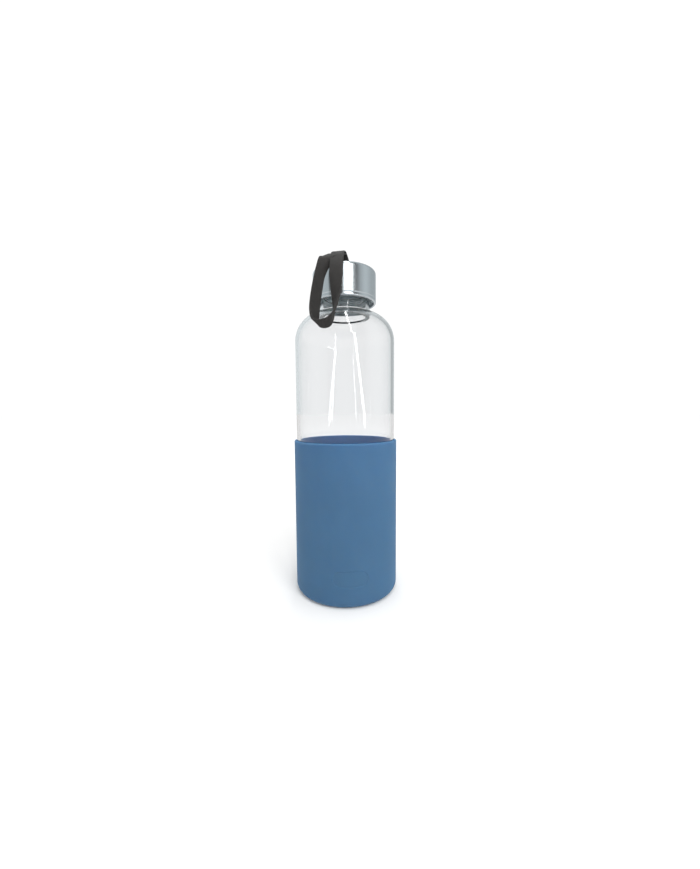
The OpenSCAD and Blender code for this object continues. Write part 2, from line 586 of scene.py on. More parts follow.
def lathe(
    name: str,
    profile: Sequence[Point],
    finish: bpy.types.Material,
    turns: Sequence[float] | int = 192,
    push: Callable[[float, float, float], float] | None = None,
) -> bpy.types.Object:
    """Turn a profile about the Z axis into a closed solid.

    Args:
        name: the piece's name.
        profile: points from the bottom of the outside, up, over and down the inside; the first
            and last points either both lie on the axis or are one and the same ring.
        finish: the material.
        turns: the angles of the columns in radians, or how many equal ones.
        push: how far a point at (angle, radius, height) moves away from the axis.

    Returns:
        The object.
    """
    angles = [2 * math.pi * i / turns for i in range(turns)] if isinstance(turns, int) else list(turns)
    n = len(angles)
    points: list[tuple[float, float, float]] = []
    rings: list[list[int]] = []
    for x, z in profile:
        if x < 1e-7:
            rings.append([len(points)] * n)
            points.append((0.0, 0.0, z))
            continue
        rings.append(list(range(len(points), len(points) + n)))
        for a in angles:
            r = x + (push(a, x, z) if push else 0.0)
            points.append((r * math.cos(a), r * math.sin(a), z))
    if profile[0][0] > 1e-7:
        rings.append(rings[0])
    faces: list[tuple[int, ...]] = []
    for low, high in zip(rings, rings[1:]):
        for i in range(n):
            j = (i + 1) % n
            corners = [low[i], low[j], high[j], high[i]]
            face = tuple(dict.fromkeys(corners))
            if len(face) > 2:
                faces.append(face)
    return mesh_object(name, points, faces, finish)


def around_slot(
    name: str, half: Sequence[float], corner: float, section: Sequence[Point], finish: bpy.types.Material
) -> bpy.types.Object:
    """Run a closed section round a rounded rectangle.

    Args:
        name: the piece's name.
        half: half the rectangle's length and width.
        corner: its corner radius.
        section: points of (outward offset, height), counter-clockwise.
        finish: the material.

    Returns:
        The object.
    """
    stops: list[tuple[float, float, float, float]] = []
    for k, (sx, sy) in enumerate(((1, 1), (-1, 1), (-1, -1), (1, -1))):
        for i in range(9):
            a = math.radians(90 * k + 90 * i / 8)
            stops.append((sx * (half[0] - corner), sy * (half[1] - corner), math.cos(a), math.sin(a)))
    m = len(section)
    n = len(stops)
    points = [
        (cx + (corner + off) * dx, cy + (corner + off) * dy, z)
        for cx, cy, dx, dy in stops
        for off, z in section
    ]
    faces = [
        (i * m + k, (i + 1) % n * m + k, (i + 1) % n * m + (k + 1) % m, i * m + (k + 1) % m)
        for i in range(n)
        for k in range(m)
    ]
    return mesh_object(name, points, faces, finish)


def stadium_distance(x: float, y: float, length: float, height: float) -> float:
    """Distance outside a bar with round ends, negative inside.

    Args:
        x: sideways place from the bar's middle.
        y: height above the bar's middle.
        length: the bar's length.
        height: the bar's height.

    Returns:
        The distance.
    """
    run = max(abs(x) - (length - height) / 2, 0.0)
    return math.hypot(run, y) - height / 2


def smoothstep(low: float, high: float, value: float) -> float:
    """A smooth rise from 0 to 1.

    Args:
        low: where the rise starts.
        high: where it ends.
        value: the place to read.

    Returns:
        The height of the rise there.
    """
    t = min(max((value - low) / (high - low), 0.0), 1.0)
    return t * t * (3 - 2 * t)


def dress(obj: bpy.types.Object, body: Body, slot: Slot, *nodes: str) -> bpy.types.Object:
    """Make a piece ride on its body and stand for its CAD nodes.

    Args:
        obj: the piece.
        body: the body that it rides on.
        slot: its material slot; not used.
        nodes: the CAD nodes that it replaces.

    Returns:
        The same piece.
    """
    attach(obj, body.value)
    if nodes:
        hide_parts(*nodes)
    LOG.info("%s: %d faces", obj.name, len(obj.data.polygons))
    return obj


# ---------------------------------------------------------------------------------------------
# Geometry Nodes
# ---------------------------------------------------------------------------------------------


class GeometryTree(NodeTree):
    """A Geometry Nodes tree with named inputs, set on one object and then turned into a mesh."""

    def __init__(self, name: str, inputs: dict[str, tuple[str, object]]) -> None:
        """Start a tree.

        Args:
            name: the tree's name.
            inputs: for each named input its socket type and the value that the object gets.
        """
        super().__init__(bpy.data.node_groups.new(name, "GeometryNodeTree"))
        self.values: dict[str, object] = {}
        face = self.tree.interface
        face.new_socket(name="Geometry", in_out="INPUT", socket_type="NodeSocketGeometry")
        face.new_socket(name="Geometry", in_out="OUTPUT", socket_type="NodeSocketGeometry")
        for key, (kind, value) in inputs.items():
            socket = face.new_socket(name=key, in_out="INPUT", socket_type=kind)
            self.values[socket.identifier] = value
        self.given = self.node("NodeGroupInput").outputs

    def finish(self, geometry: bpy.types.NodeSocket, material: bpy.types.NodeSocket) -> None:
        """End the tree with Realize Instances and Set Material.

        Args:
            geometry: what the tree has made.
            material: the socket that gives its material.
        """
        real = self.node("GeometryNodeRealizeInstances", {}, {0: geometry}).outputs[0]
        smooth = self.node("GeometryNodeSetShadeSmooth", {}, {0: real}).outputs[0]
        dressed = self.node("GeometryNodeSetMaterial", {}, {0: smooth, "Material": material}).outputs[0]
        self.node("NodeGroupOutput", {}, {0: dressed})

    def apply(self, obj: bpy.types.Object) -> None:
        """Run the tree on an object and leave the plain mesh.

        Args:
            obj: the object, whose mesh is replaced.
        """
        modifier = obj.modifiers.new(self.tree.name, "NODES")
        modifier.node_group = self.tree
        for identifier, value in self.values.items():
            modifier[identifier] = value
        bpy.context.view_layer.update()
        result = bpy.data.meshes.new_from_object(obj.evaluated_get(bpy.context.evaluated_depsgraph_get()))
        obj.modifiers.clear()
        obj.data = result


@dataclass(frozen=True)
class Seam:
    """Rows of stitches that follow lines drawn on a surface."""

    pitch: float = 0.95 * MM
    length: float = 0.78 * MM
    radius: float = 0.17 * MM
    seed: int = 7

    def sew(self, name: str, lines: Sequence[np.ndarray], finish: bpy.types.Material) -> bpy.types.Object:
        """Sew along the lines.

        Args:
            name: the piece's name.
            lines: points of each line, in order.
            finish: the thread's material.

        Returns:
            The stitches as one object.
        """
        tree = GeometryTree("rows_of_stitches", {
            "Pitch": ("NodeSocketFloat", self.pitch),
            "Length": ("NodeSocketFloat", self.length),
            "Thread Radius": ("NodeSocketFloat", self.radius),
            "Seed": ("NodeSocketInt", self.seed),
            "Thread": ("NodeSocketMaterial", finish),
        })
        given = tree.given
        thin = given["Thread Radius"]
        curve = tree.node("GeometryNodeMeshToCurve", {}, {0: given["Geometry"]}).outputs[0]
        spaced = tree.node("GeometryNodeResampleCurve", {"mode": "LENGTH"},
                           {"Curve": curve, "Length": given["Pitch"]})
        ball = tree.node("GeometryNodeMeshUVSphere", {}, {"Segments": 10, "Rings": 8, "Radius": 1.0})
        half = tree.node("ShaderNodeMath", {"operation": "MULTIPLY"}, {0: given["Length"], 1: 0.5})
        size = tree.node("ShaderNodeCombineXYZ", {}, {0: thin, 1: thin, 2: half.outputs[0]})
        stitch = tree.node("GeometryNodeTransform", {}, {0: ball.outputs[0], "Scale": size.outputs[0]})
        along = tree.node("GeometryNodeInputTangent").outputs[0]
        turn = tree.node("FunctionNodeAlignRotationToVector", {"axis": "Z"}, {"Vector": along}).outputs[0]
        uneven = tree.node("FunctionNodeRandomValue", {"data_type": "FLOAT_VECTOR"},
                           {0: (0.94, 0.94, 0.9), 1: (1.06, 1.06, 1.06), "Seed": given["Seed"]}).outputs[0]
        placed = tree.node("GeometryNodeInstanceOnPoints", {}, {
            "Points": spaced.outputs[0], "Instance": stitch.outputs[0], "Rotation": turn, "Scale": uneven,
        }).outputs[0]
        tree.finish(placed, given["Thread"])
        mesh = bpy.data.meshes.new(name)
        starts = np.cumsum([0] + [len(line) for line in lines])
        edges = [(a + i, a + i + 1) for a, line in zip(starts, lines) for i in range(len(line) - 1)]
        mesh.from_pydata([tuple(p) for line in lines for p in line], edges, [])
        obj = bpy.data.objects.new(name, mesh)
        bpy.context.scene.collection.objects.link(obj)
        tree.apply(obj)
        return obj


# ---------------------------------------------------------------------------------------------
# Sub-assemblies
# ---------------------------------------------------------------------------------------------


@dataclass
class Sleeve:
    """Silicone sleeve with a round rim and a plain pressed pad."""

    wall: float = 1.5 * MM
    floor: float = 2.0 * MM
    corner: float = 4.75 * MM
    inner_corner: float = 3.25 * MM
    rim_outer: float = 1.1 * MM
    rim_inner: float = 0.35 * MM
    pad_length: float = 23 * MM
    pad_height: float = 10.5 * MM
    pad_x: float = 2.5 * MM
    pad_z: float = 20 * MM
    pad_depth: float = 0.35 * MM
    fine: float = 0.25 * MM

    def pressed(self, angle: float, radius: float, z: float) -> float:
        """How far the pad presses a point of the outside in.

        Args:
            angle: its angle about the axis.
            radius: its distance from the axis.
            z: its height.

        Returns:
            The movement, negative towards the axis.
        """
        if radius < self.radius - 0.5 * self.wall or math.sin(angle) > 0:
            return 0.0
        across = radius * math.cos(angle) - self.pad_x
        gap = stadium_distance(across, z - self.pad_z, self.pad_length, self.pad_height)
        return -self.pad_depth * (1 - smoothstep(-0.35 * MM, 0.15 * MM, gap))

    def columns(self) -> list[float]:
        """Angles of the columns, close together across the pad.

        Returns:
            The angles in radians, in order.
        """
        reach = (self.pad_length / 2 + 2 * MM) / self.radius
        middle = -math.pi / 2 + self.pad_x / self.radius
        near = int(2 * reach * self.radius / self.fine)
        far = 150
        span = 2 * math.pi - 2 * reach
        fine = [middle - reach + 2 * reach * i / near for i in range(near)]
        return fine + [middle + reach + span * i / far for i in range(far)]

    def build(self) -> None:
        """Make the sleeve."""
        low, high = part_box("silicone_sleeve")
        self.radius = (high[0] - low[0]) / 2
        top = high[2]
        inner = self.radius - self.wall
        edge = self.pad_height / 2 + 1 * MM
        profile = [(0.0, 0.0)]
        profile += arc(self.radius - self.corner, self.corner, self.corner, -90, 0)
        profile += rows(self.radius, self.pad_z - edge, self.pad_z + edge, self.fine)
        profile += rows(self.radius, self.pad_z + edge, top - self.rim_outer, 4 * MM)
        profile += arc(self.radius - self.rim_outer, top - self.rim_outer, self.rim_outer, 0, 90)
        profile += arc(inner + self.rim_inner, top - self.rim_inner, self.rim_inner, 90, 180, 6)
        profile += arc(inner - self.inner_corner, self.floor + self.inner_corner, self.inner_corner, 0, -90)
        profile += [(0.0, self.floor)]
        piece = lathe("sleeve", supported(profile), MattSilicone().build(), self.columns(), self.pressed)
        dress(piece, Body.SLEEVE, Slot.SILICONE, "silicone_sleeve")


@dataclass
class Bottle:
    """Clear glass bottle with a moulded screw thread."""

    wall: float = 2.0 * MM
    bottom: float = 3.5 * MM
    corner: float = 3.0 * MM
    push_up: float = 1.2 * MM
    shoulder: float = 19.5 * MM
    neck: float = 17.3 * MM
    neck_wall: float = 2.3 * MM
    neck_height: float = 18.9 * MM
    lip: float = 1.05 * MM
    root_fillet: float = 0.9 * MM
    thread_lead: float = 4.5 * MM
    thread_height: float = 1.05 * MM
    thread_half: float = 1.15 * MM
    thread_turns: float = 1.5
    thread_above_rim: float = 4.0 * MM

    def ridge(self, angle: float, radius: float, z: float) -> float:
        """How far the thread stands out at a point of the neck.

        Args:
            angle: its angle about the axis.
            radius: its distance from the axis.
            z: its height.

        Returns:
            The height of the ridge there.
        """
        if radius < self.neck - 0.01 * MM or z < self.foot + 2 * MM:
            return 0.0
        out = 0.0
        start = angle / (2 * math.pi) % 1.0
        for turn in range(3):
            run = start + turn
            if run > self.thread_turns:
                continue
            fade = smoothstep(0.0, 0.12, min(run, self.thread_turns - run))
            off = (z - self.thread_z - run * self.thread_lead) / self.thread_half
            if abs(off) < 1:
                out = max(out, self.thread_height * fade * (1 - off * off) ** 1.2)
        return out

    def build(self) -> None:
        """Make the glass."""
        low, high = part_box("glass_body")
        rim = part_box("cap_shell")[0][2]
        radius = (high[0] - low[0]) / 2
        base, mouth = low[2], high[2]
        inner = radius - self.wall
        bore = self.neck - self.neck_wall
        self.foot = mouth - self.neck_height
        self.thread_z = rim + self.thread_above_rim
        turn = math.degrees(math.acos((self.neck - radius + self.shoulder) / self.shoulder))
        centre = self.foot - self.shoulder * math.sin(math.radians(turn))
        inner_shoulder = self.shoulder - self.wall
        inner_turn = math.degrees(math.acos((bore - inner + inner_shoulder) / inner_shoulder))
        stand = radius - self.corner - 4 * MM
        fillet = self.root_fillet
        profile = [(0.0, base + self.push_up), (stand * 0.5, base + self.push_up * 0.93),
                   (stand, base + self.push_up / 2), (stand + 1.2 * MM, base + 0.2 * MM),
                   (stand + 2 * MM, base)]
        profile += arc(radius - self.corner, base + self.corner, self.corner, -90, 0)
        profile += rows(radius, base + self.corner, centre, 6 * MM)
        profile += arc(radius - self.shoulder, centre, self.shoulder, 0, turn - 4, 40)
        profile += arc(self.neck + fillet, self.foot + fillet, fillet, 250, 180, 6)
        profile += rows(self.neck, self.foot + fillet, mouth - self.lip, 0.25 * MM)
        profile += arc(self.neck - self.lip, mouth - self.lip, self.lip, 0, 90, 10)
        profile += arc(bore + self.lip, mouth - self.lip, self.lip, 90, 180, 10)
        profile += arc(inner - inner_shoulder, centre, inner_shoulder, inner_turn, 0, 40)
        profile += rows(inner, centre, base + self.bottom + self.corner, 6 * MM)
        profile += arc(inner - self.corner, base + self.bottom + self.corner, self.corner, 0, -90)
        profile += [(0.0, base + self.bottom + self.push_up / 2)]
        piece = lathe("glass", supported(profile), ClearGlass().build(), 240, self.ridge)
        dress(piece, Body.GLASS, Slot.GLASS, "glass_body")


@dataclass
class Cap:
    """Steel shell, liner, seal, grommet and pin."""

    steel_wall: float = 0.6 * MM
    top_radius: float = 2.0 * MM
    rim_height: float = 2.4 * MM
    rim_wall: float = 1.4 * MM
    rim_step: float = 0.3 * MM
    rim_inner: float = 0.6 * MM
    rim_outer: float = 0.8 * MM
    groove: float = 0.18 * MM
    groove_half: float = 0.35 * MM
    slot_half: tuple[float, float] = (4.55 * MM, 1.5 * MM)
    slot_corner: float = 0.5 * MM
    grommet_wall: float = 0.8 * MM
    flange: float = 1.4 * MM

    def shell(self, steel: bpy.types.Material) -> None:
        """Make the steel shell with its rolled rim and its slot.

        Args:
            steel: the finish.
        """
        low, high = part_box("cap_shell")
        radius = (high[0] - low[0]) / 2
        bottom, top = low[2], high[2]
        inner = radius - self.steel_wall
        bend = self.top_radius - self.steel_wall
        seam = bottom + self.rim_height
        roll = radius - self.rim_wall
        step, inside, outside = self.rim_step, self.rim_inner, self.rim_outer
        profile = [(0.0, top - self.steel_wall)]
        profile += arc(inner - bend, top - self.steel_wall - bend, bend, 90, 0)
        profile += arc(inner - step, seam + step, step, 0, -90, 4)
        profile += arc(roll + step, seam - step, step, 90, 180, 4)
        profile += arc(roll + inside, bottom + inside, inside, 180, 270, 8)
        profile += arc(radius - outside, bottom + outside, outside, 270, 360, 10)
        for share, depth in ((-1.0, 0.0), (-0.43, 0.7), (0.0, 1.0), (0.43, 0.7), (1.0, 0.0)):
            profile.append((radius - self.groove * depth, seam + self.groove_half * share))
        profile += arc(radius - self.top_radius, top - self.top_radius, self.top_radius, 0, 90, 16)
        profile += [(0.0, top)]
        piece = lathe("cap_shell_steel", supported(profile), steel, 256)
        cutter = around_slot_block(self.slot_half, self.grommet_wall, self.slot_corner, top)
        cut(piece, cutter)
        dress(piece, Body.CAP, Slot.STEEL, "cap_shell")

    def gasket(self) -> None:
        """Make the sealing ring with rounded edges and a raised bead."""
        low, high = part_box("cap_gasket")
        outer = (high[0] - low[0]) / 2
        bottom, top = low[2], high[2]
        inner = outer - 4.5 * MM
        round_off = 0.4 * MM
        profile = arc(inner + round_off, bottom + round_off, round_off, 180, 270, 5)
        profile += arc(outer - round_off, bottom + round_off, round_off, 270, 360, 5)
        profile += arc(outer - round_off, top - round_off, round_off, 0, 90, 5)
        profile += arc(inner + round_off, top - round_off, round_off, 90, 180, 5)
        piece = lathe("sealing_ring", supported(profile), SealSilicone().build(), 128)
        dress(piece, Body.SEAL, Slot.GASKET, "cap_gasket")

    def grommet(self) -> None:
        """Make the lining of the slot with a soft flange."""
        low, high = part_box("crown_grommet")
        bottom, top = low[2], high[2]
        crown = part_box("cap_shell")[1][2]
        soft = 0.3 * MM
        wall = self.grommet_wall
        section = [(0.0, bottom), (wall, bottom), (wall, crown), (self.flange, crown)]
        section += arc(self.flange - soft, top - soft, soft, 0, 90, 5)
        section += arc(soft, top - soft, soft, 90, 180, 5)
        black = MouldedPlastic("black_moulded_grommet", (0.018, 0.018, 0.019), (0.03, 0.03, 0.031))
        piece = around_slot("slot_grommet", self.slot_half, self.slot_corner, section, black.build())
        dress(piece, Body.CAP, Slot.GROMMET, "crown_grommet")

    def build(self) -> None:
        """Make every piece of the cap."""
        steel = TurnedSteel().build()
        self.shell(steel)
        self.gasket()
        self.grommet()
        liner = MouldedPlastic("grey_moulded_liner", (0.28, 0.31, 0.33), (0.33, 0.36, 0.38), 0.5)
        for node, finish in (("cap_liner", liner.build()), ("strap_pin", steel)):
            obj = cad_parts[node]
            obj.data.materials.clear()
            obj.data.materials.append(finish)


def around_slot_block(half: Sequence[float], wall: float, corner: float, top: float) -> bpy.types.Object:
    """A block with round corners that fills the hole in the crown.

    Args:
        half: half the slot's length and width.
        wall: how far the hole stands off the slot.
        corner: the slot's corner radius.
        top: height of the crown.

    Returns:
        The block.
    """
    outline: list[tuple[float, float]] = []
    for k, (sx, sy) in enumerate(((1, 1), (-1, 1), (-1, -1), (1, -1))):
        for i in range(7):
            a = math.radians(90 * k + 15 * i)
            outline.append((sx * (half[0] - corner) + (corner + wall) * math.cos(a),
                            sy * (half[1] - corner) + (corner + wall) * math.sin(a)))
    n = len(outline)
    points = [(x, y, z) for z in (top - 5 * MM, top + 5 * MM) for x, y in outline]
    faces = [tuple(reversed(range(n))), tuple(range(n, 2 * n))]
    faces += [(i, (i + 1) % n, n + (i + 1) % n, n + i) for i in range(n)]
    return mesh_object("slot_cutter", points, faces, bpy.data.materials.new("cutter"))


def cut(piece: bpy.types.Object, cutter: bpy.types.Object) -> None:
    """Cut one closed solid out of another and delete the cutter.

    Args:
        piece: the solid that is cut.
        cutter: the solid that is taken away.
    """
    modifier = piece.modifiers.new("cut", "BOOLEAN")
    modifier.operation = "DIFFERENCE"
    modifier.solver = "EXACT"
    modifier.object = cutter
    bpy.context.view_layer.update()
    result = bpy.data.meshes.new_from_object(piece.evaluated_get(bpy.context.evaluated_depsgraph_get()))
    piece.modifiers.clear()
    piece.data = result
    result.set_sharp_from_angle(angle=math.radians(35))
    bpy.data.objects.remove(cutter)


@dataclass
class CarryLoop:
    """One length of woven webbing, from the pin through the crown, down, round and back."""

    width: float = 8.5 * MM
    thickness: float = 1.2 * MM
    selvedge: float = 0.35 * MM
    ribs: int = 11
    columns_per_rib: int = 4
    pick: float = 0.9 * MM
    step: float = 0.25 * MM
    relief: float = 0.11 * MM
    pin_radius: float = 1.1 * MM
    seam_low: float = 2.4 * MM
    seam_high: float = 7.2 * MM
    seam_half: float = 3.1 * MM
    seam_search: float = 22 * MM
    run: tuple[Stop, ...] = (
        ((-2.8, -4.4, 11.8), (0.95, -0.3, 0)),
        ((-4.2, -10.5, 9.5), (0.93, -0.35, -0.1)),
        ((-4.4, -18.5, 3.9), (0.95, -0.2, -0.1)),
        ((-4.9, -25.6, -5), (0.97, -0.1, 0)),
        ((-5, -28.8, -16), (0.85, -0.5, 0.2)),
        ((-5, -32, -26.7), (0.55, -0.8, 0.3)),
        ((-6, -35.7, -35.7), (0.15, -0.9, 0.35)),
        ((-8.9, -37.5, -41.2), (-0.15, -0.88, 0.35)),
        ((-13.2, -36.8, -42.7), (-0.35, -0.85, 0.35)),
        ((-17.2, -34.8, -41.1), (-0.5, -0.8, 0.35)),
        ((-18.2, -31.8, -34.9), (-0.65, -0.75, 0.3)),
        ((-17.8, -28.8, -27), (-0.7, -0.75, 0.2)),
        ((-16.6, -26.4, -18), (-0.66, -0.73, 0.1)),
        ((-14.7, -24.2, -8.2), (-0.62, -0.7, -0.1)),
        ((-11.2, -20.4, 1.5), (-0.8, -0.28, -0.3)),
        ((-6.8, -12.4, 7.2), (-0.93, 0.25, 0.1)),
        ((-3.7, -7, 9.3), (-0.94, 0.3, 0)),
        ((-2.8, -4.4, 10.4), (-0.95, 0.3, 0)),
    )
    root: tuple[Stop, ...] = (
        ((0, 0, 0), (1, 0, 0)),
        ((0, 0, 3), (1, 0, 0)),
        ((-0.6, -0.7, 6.2), (0.99, -0.15, 0)),
        ((-1.5, -1.8, 9.2), (0.97, -0.25, 0)),
    )

    def stops(self) -> tuple[np.ndarray, np.ndarray]:
        """The whole route.

        Returns:
            The middle points in metres, and the way that the width runs at each.
        """
        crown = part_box("cap_shell")[1][2] / MM
        pin = sum(c[2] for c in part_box("strap_pin")) / 2 / MM - crown
        wrap = self.pin_radius / MM + self.thickness / MM / 2 + 0.05
        layer = self.thickness / MM / 2 + 0.05

        def side(sign: int) -> list[Stop]:
            """Points of one layer of the root, from under the pin up to the bend.

            Args:
                sign: 1 for the rear layer, -1 for the front one.

            Returns:
                The stops, in millimetres from the crown.
            """
            way = (float(sign), 0.0, 0.0)
            out = [((0, sign * 0.25, pin - wrap), way), ((0, sign * wrap * 0.8, pin - wrap * 0.6), way),
                   ((0, sign * wrap, pin + 0.3), way), ((0, sign * layer * 1.25, pin + 2.1), way)]
            for (x, y, z), w in self.root:
                back = Vector((-w[1], w[0], 0)).normalized()
                place = (x + sign * layer * back.x, y + sign * layer * back.y, z)
                out.append((place, (sign * w[0], sign * w[1], sign * w[2])))
            return out

        route = side(1) + list(self.run) + side(-1)[::-1]
        middle = np.array([p for p, _ in route], float)
        middle[:, 2] += crown
        return middle * MM, np.array([w for _, w in route], float)

    @staticmethod
    def smooth(points: np.ndarray, count: int = 24) -> np.ndarray:
        """A smooth curve through points.

        Args:
            points: the points.
            count: number of stretches from each point to the next.

        Returns:
            The points of the curve.
        """
        padded = np.vstack([2 * points[0] - points[1], points, 2 * points[-1] - points[-2]])
        t = (np.arange(count) / count)[:, None]
        out = []
        for i in range(len(points) - 1):
            a, b, c, d = padded[i : i + 4]
            cubic = (2 * b + (c - a) * t + (2 * a - 5 * b + 4 * c - d) * t**2
                     + (3 * b - a - 3 * c + d) * t**3) / 2
            out.append(cubic)
        return np.vstack([*out, points[-1:]])

    def frames(self) -> tuple[np.ndarray, np.ndarray, np.ndarray, np.ndarray]:
        """Evenly spaced places along the webbing.

        Returns:
            Middle points, width directions, face directions and the length so far.
        """
        middle, across = (self.smooth(a) for a in self.stops())
        length = np.concatenate([[0], np.cumsum(np.linalg.norm(np.diff(middle, axis=0), axis=1))])
        count = int(length[-1] / self.step)
        even = np.linspace(0, length[-1], count + 1)
        middle = np.stack([np.interp(even, length, middle[:, k]) for k in range(3)], 1)
        across = np.stack([np.interp(even, length, across[:, k]) for k in range(3)], 1)
        along = np.gradient(middle, axis=0)
        along /= np.linalg.norm(along, axis=1)[:, None]
        side = across - (across * along).sum(1)[:, None] * along
        side /= np.linalg.norm(side, axis=1)[:, None]
        return middle, side, np.cross(along, side), even

    def section(self) -> list[tuple[float, float, float]]:
        """Points round the section.

        Returns:
            For each the place across, the place through, and how much the weave moves it.
        """
        half, thick = self.width / 2, self.thickness / 2
        edge = self.selvedge
        count = self.ribs * self.columns_per_rib
        face = [(-half + edge + (self.width - 2 * edge) * i / count) for i in range(count + 1)]
        near, low = half - edge * 0.25, thick * 0.62
        out = [(u, thick, 1.0) for u in reversed(face)]
        out += [(-near, low, 0.0), (-half, 0.0, 0.0), (-near, -low, 0.0)]
        out += [(u, -thick, 1.0) for u in face]
        out += [(near, -low, 0.0), (half, 0.0, 0.0), (near, low, 0.0)]
        return out

    def build(self) -> None:
        """Make the webbing."""
        middle, side, face, run = self.frames()
        section = self.section()
        rib_width = (self.width - 2 * self.selvedge) / self.ribs
        points = []
        height = []
        for u, v, share in section:
            rib = (u + self.width / 2 - self.selvedge) / rib_width
            dome = abs(math.sin(math.pi * rib)) ** 0.7 if share else 0.5
            phase = math.floor(rib + 1e-6) + (0.5 if v < 0 else 0.0)
            weave = 0.5 + 0.5 * np.sin(math.pi * (run / self.pick + phase))
            yarn = dome * (0.35 + 0.65 * weave) if share else np.full(len(run), 0.45)
            sink = self.relief * (yarn - 1.0) * share
            through = (abs(v) + sink) * (1 if v > 0 else -1 if v < 0 else 0)
            points.append(middle + side * u + face * through[:, None])
            height.append(yarn)
        m = len(section)
        n = len(run)
        cloud = np.stack(points, 1).reshape(-1, 3)
        faces = [
            (i * m + k, i * m + (k + 1) % m, (i + 1) * m + (k + 1) % m, (i + 1) * m + k)
            for i in range(n - 1)
            for k in range(m)
        ]
        faces += [tuple(reversed(range(m))), tuple(range((n - 1) * m, n * m))]
        piece = mesh_object("carry_loop_webbing", cloud, faces, WovenWebbing().build())
        # the yarn height sinks the surface and also masks the painted shade in the webbing's gaps
        yarn_height = piece.data.attributes.new("yarn", "FLOAT", "POINT")
        yarn_height.data.foreach_set("value", np.stack(height, 1).ravel())
        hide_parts("strap_root", "strap_loop")
        self.hang(piece)
        LOG.info("carry loop: %.1f mm of webbing, %d faces", run[-1] / MM, len(piece.data.polygons))
        self.seam(middle, side, face)

    def seam(self, middle: np.ndarray, side: np.ndarray, face: np.ndarray) -> None:
        """Sew the two layers together above the crown, with a box of stitches on each outer face.

        Args:
            middle: the middle points of the webbing.
            side: its width directions.
            face: its face directions.
        """
        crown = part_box("cap_shell")[1][2]
        height = middle[:, 2] - crown
        reach = round(self.seam_search / self.step)
        lines = []
        for first, last, out in ((0, reach, 1.0), (len(middle) - reach, len(middle), -1.0)):
            inside = [i for i in range(first, last) if self.seam_low < height[i] < self.seam_high]
            rise = inside if out > 0 else inside[::-1]
            skin = middle + face * out * (self.thickness / 2 + 0.03 * MM)
            for u in (-self.seam_half, self.seam_half):
                lines.append(np.array([skin[i] + side[i] * u for i in rise]))
            for i in (rise[0], rise[len(rise) // 2], rise[-1]):
                across = np.linspace(-self.seam_half, self.seam_half, 15)[1:-1]
                lines.append(np.array([skin[i] + side[i] * u for u in across]))
        piece = Seam().sew("crown_seam_stitches", lines, SewingThread().build())
        dress(piece, Body.CAP, Slot.WEBBING)

    def hang(self, piece: bpy.types.Object) -> None:
        """Bake the webbing's placement into its mesh.

        Args:
            piece: the webbing.
        """
        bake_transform(piece)


# ---------------------------------------------------------------------------------------------
# Studio
# ---------------------------------------------------------------------------------------------


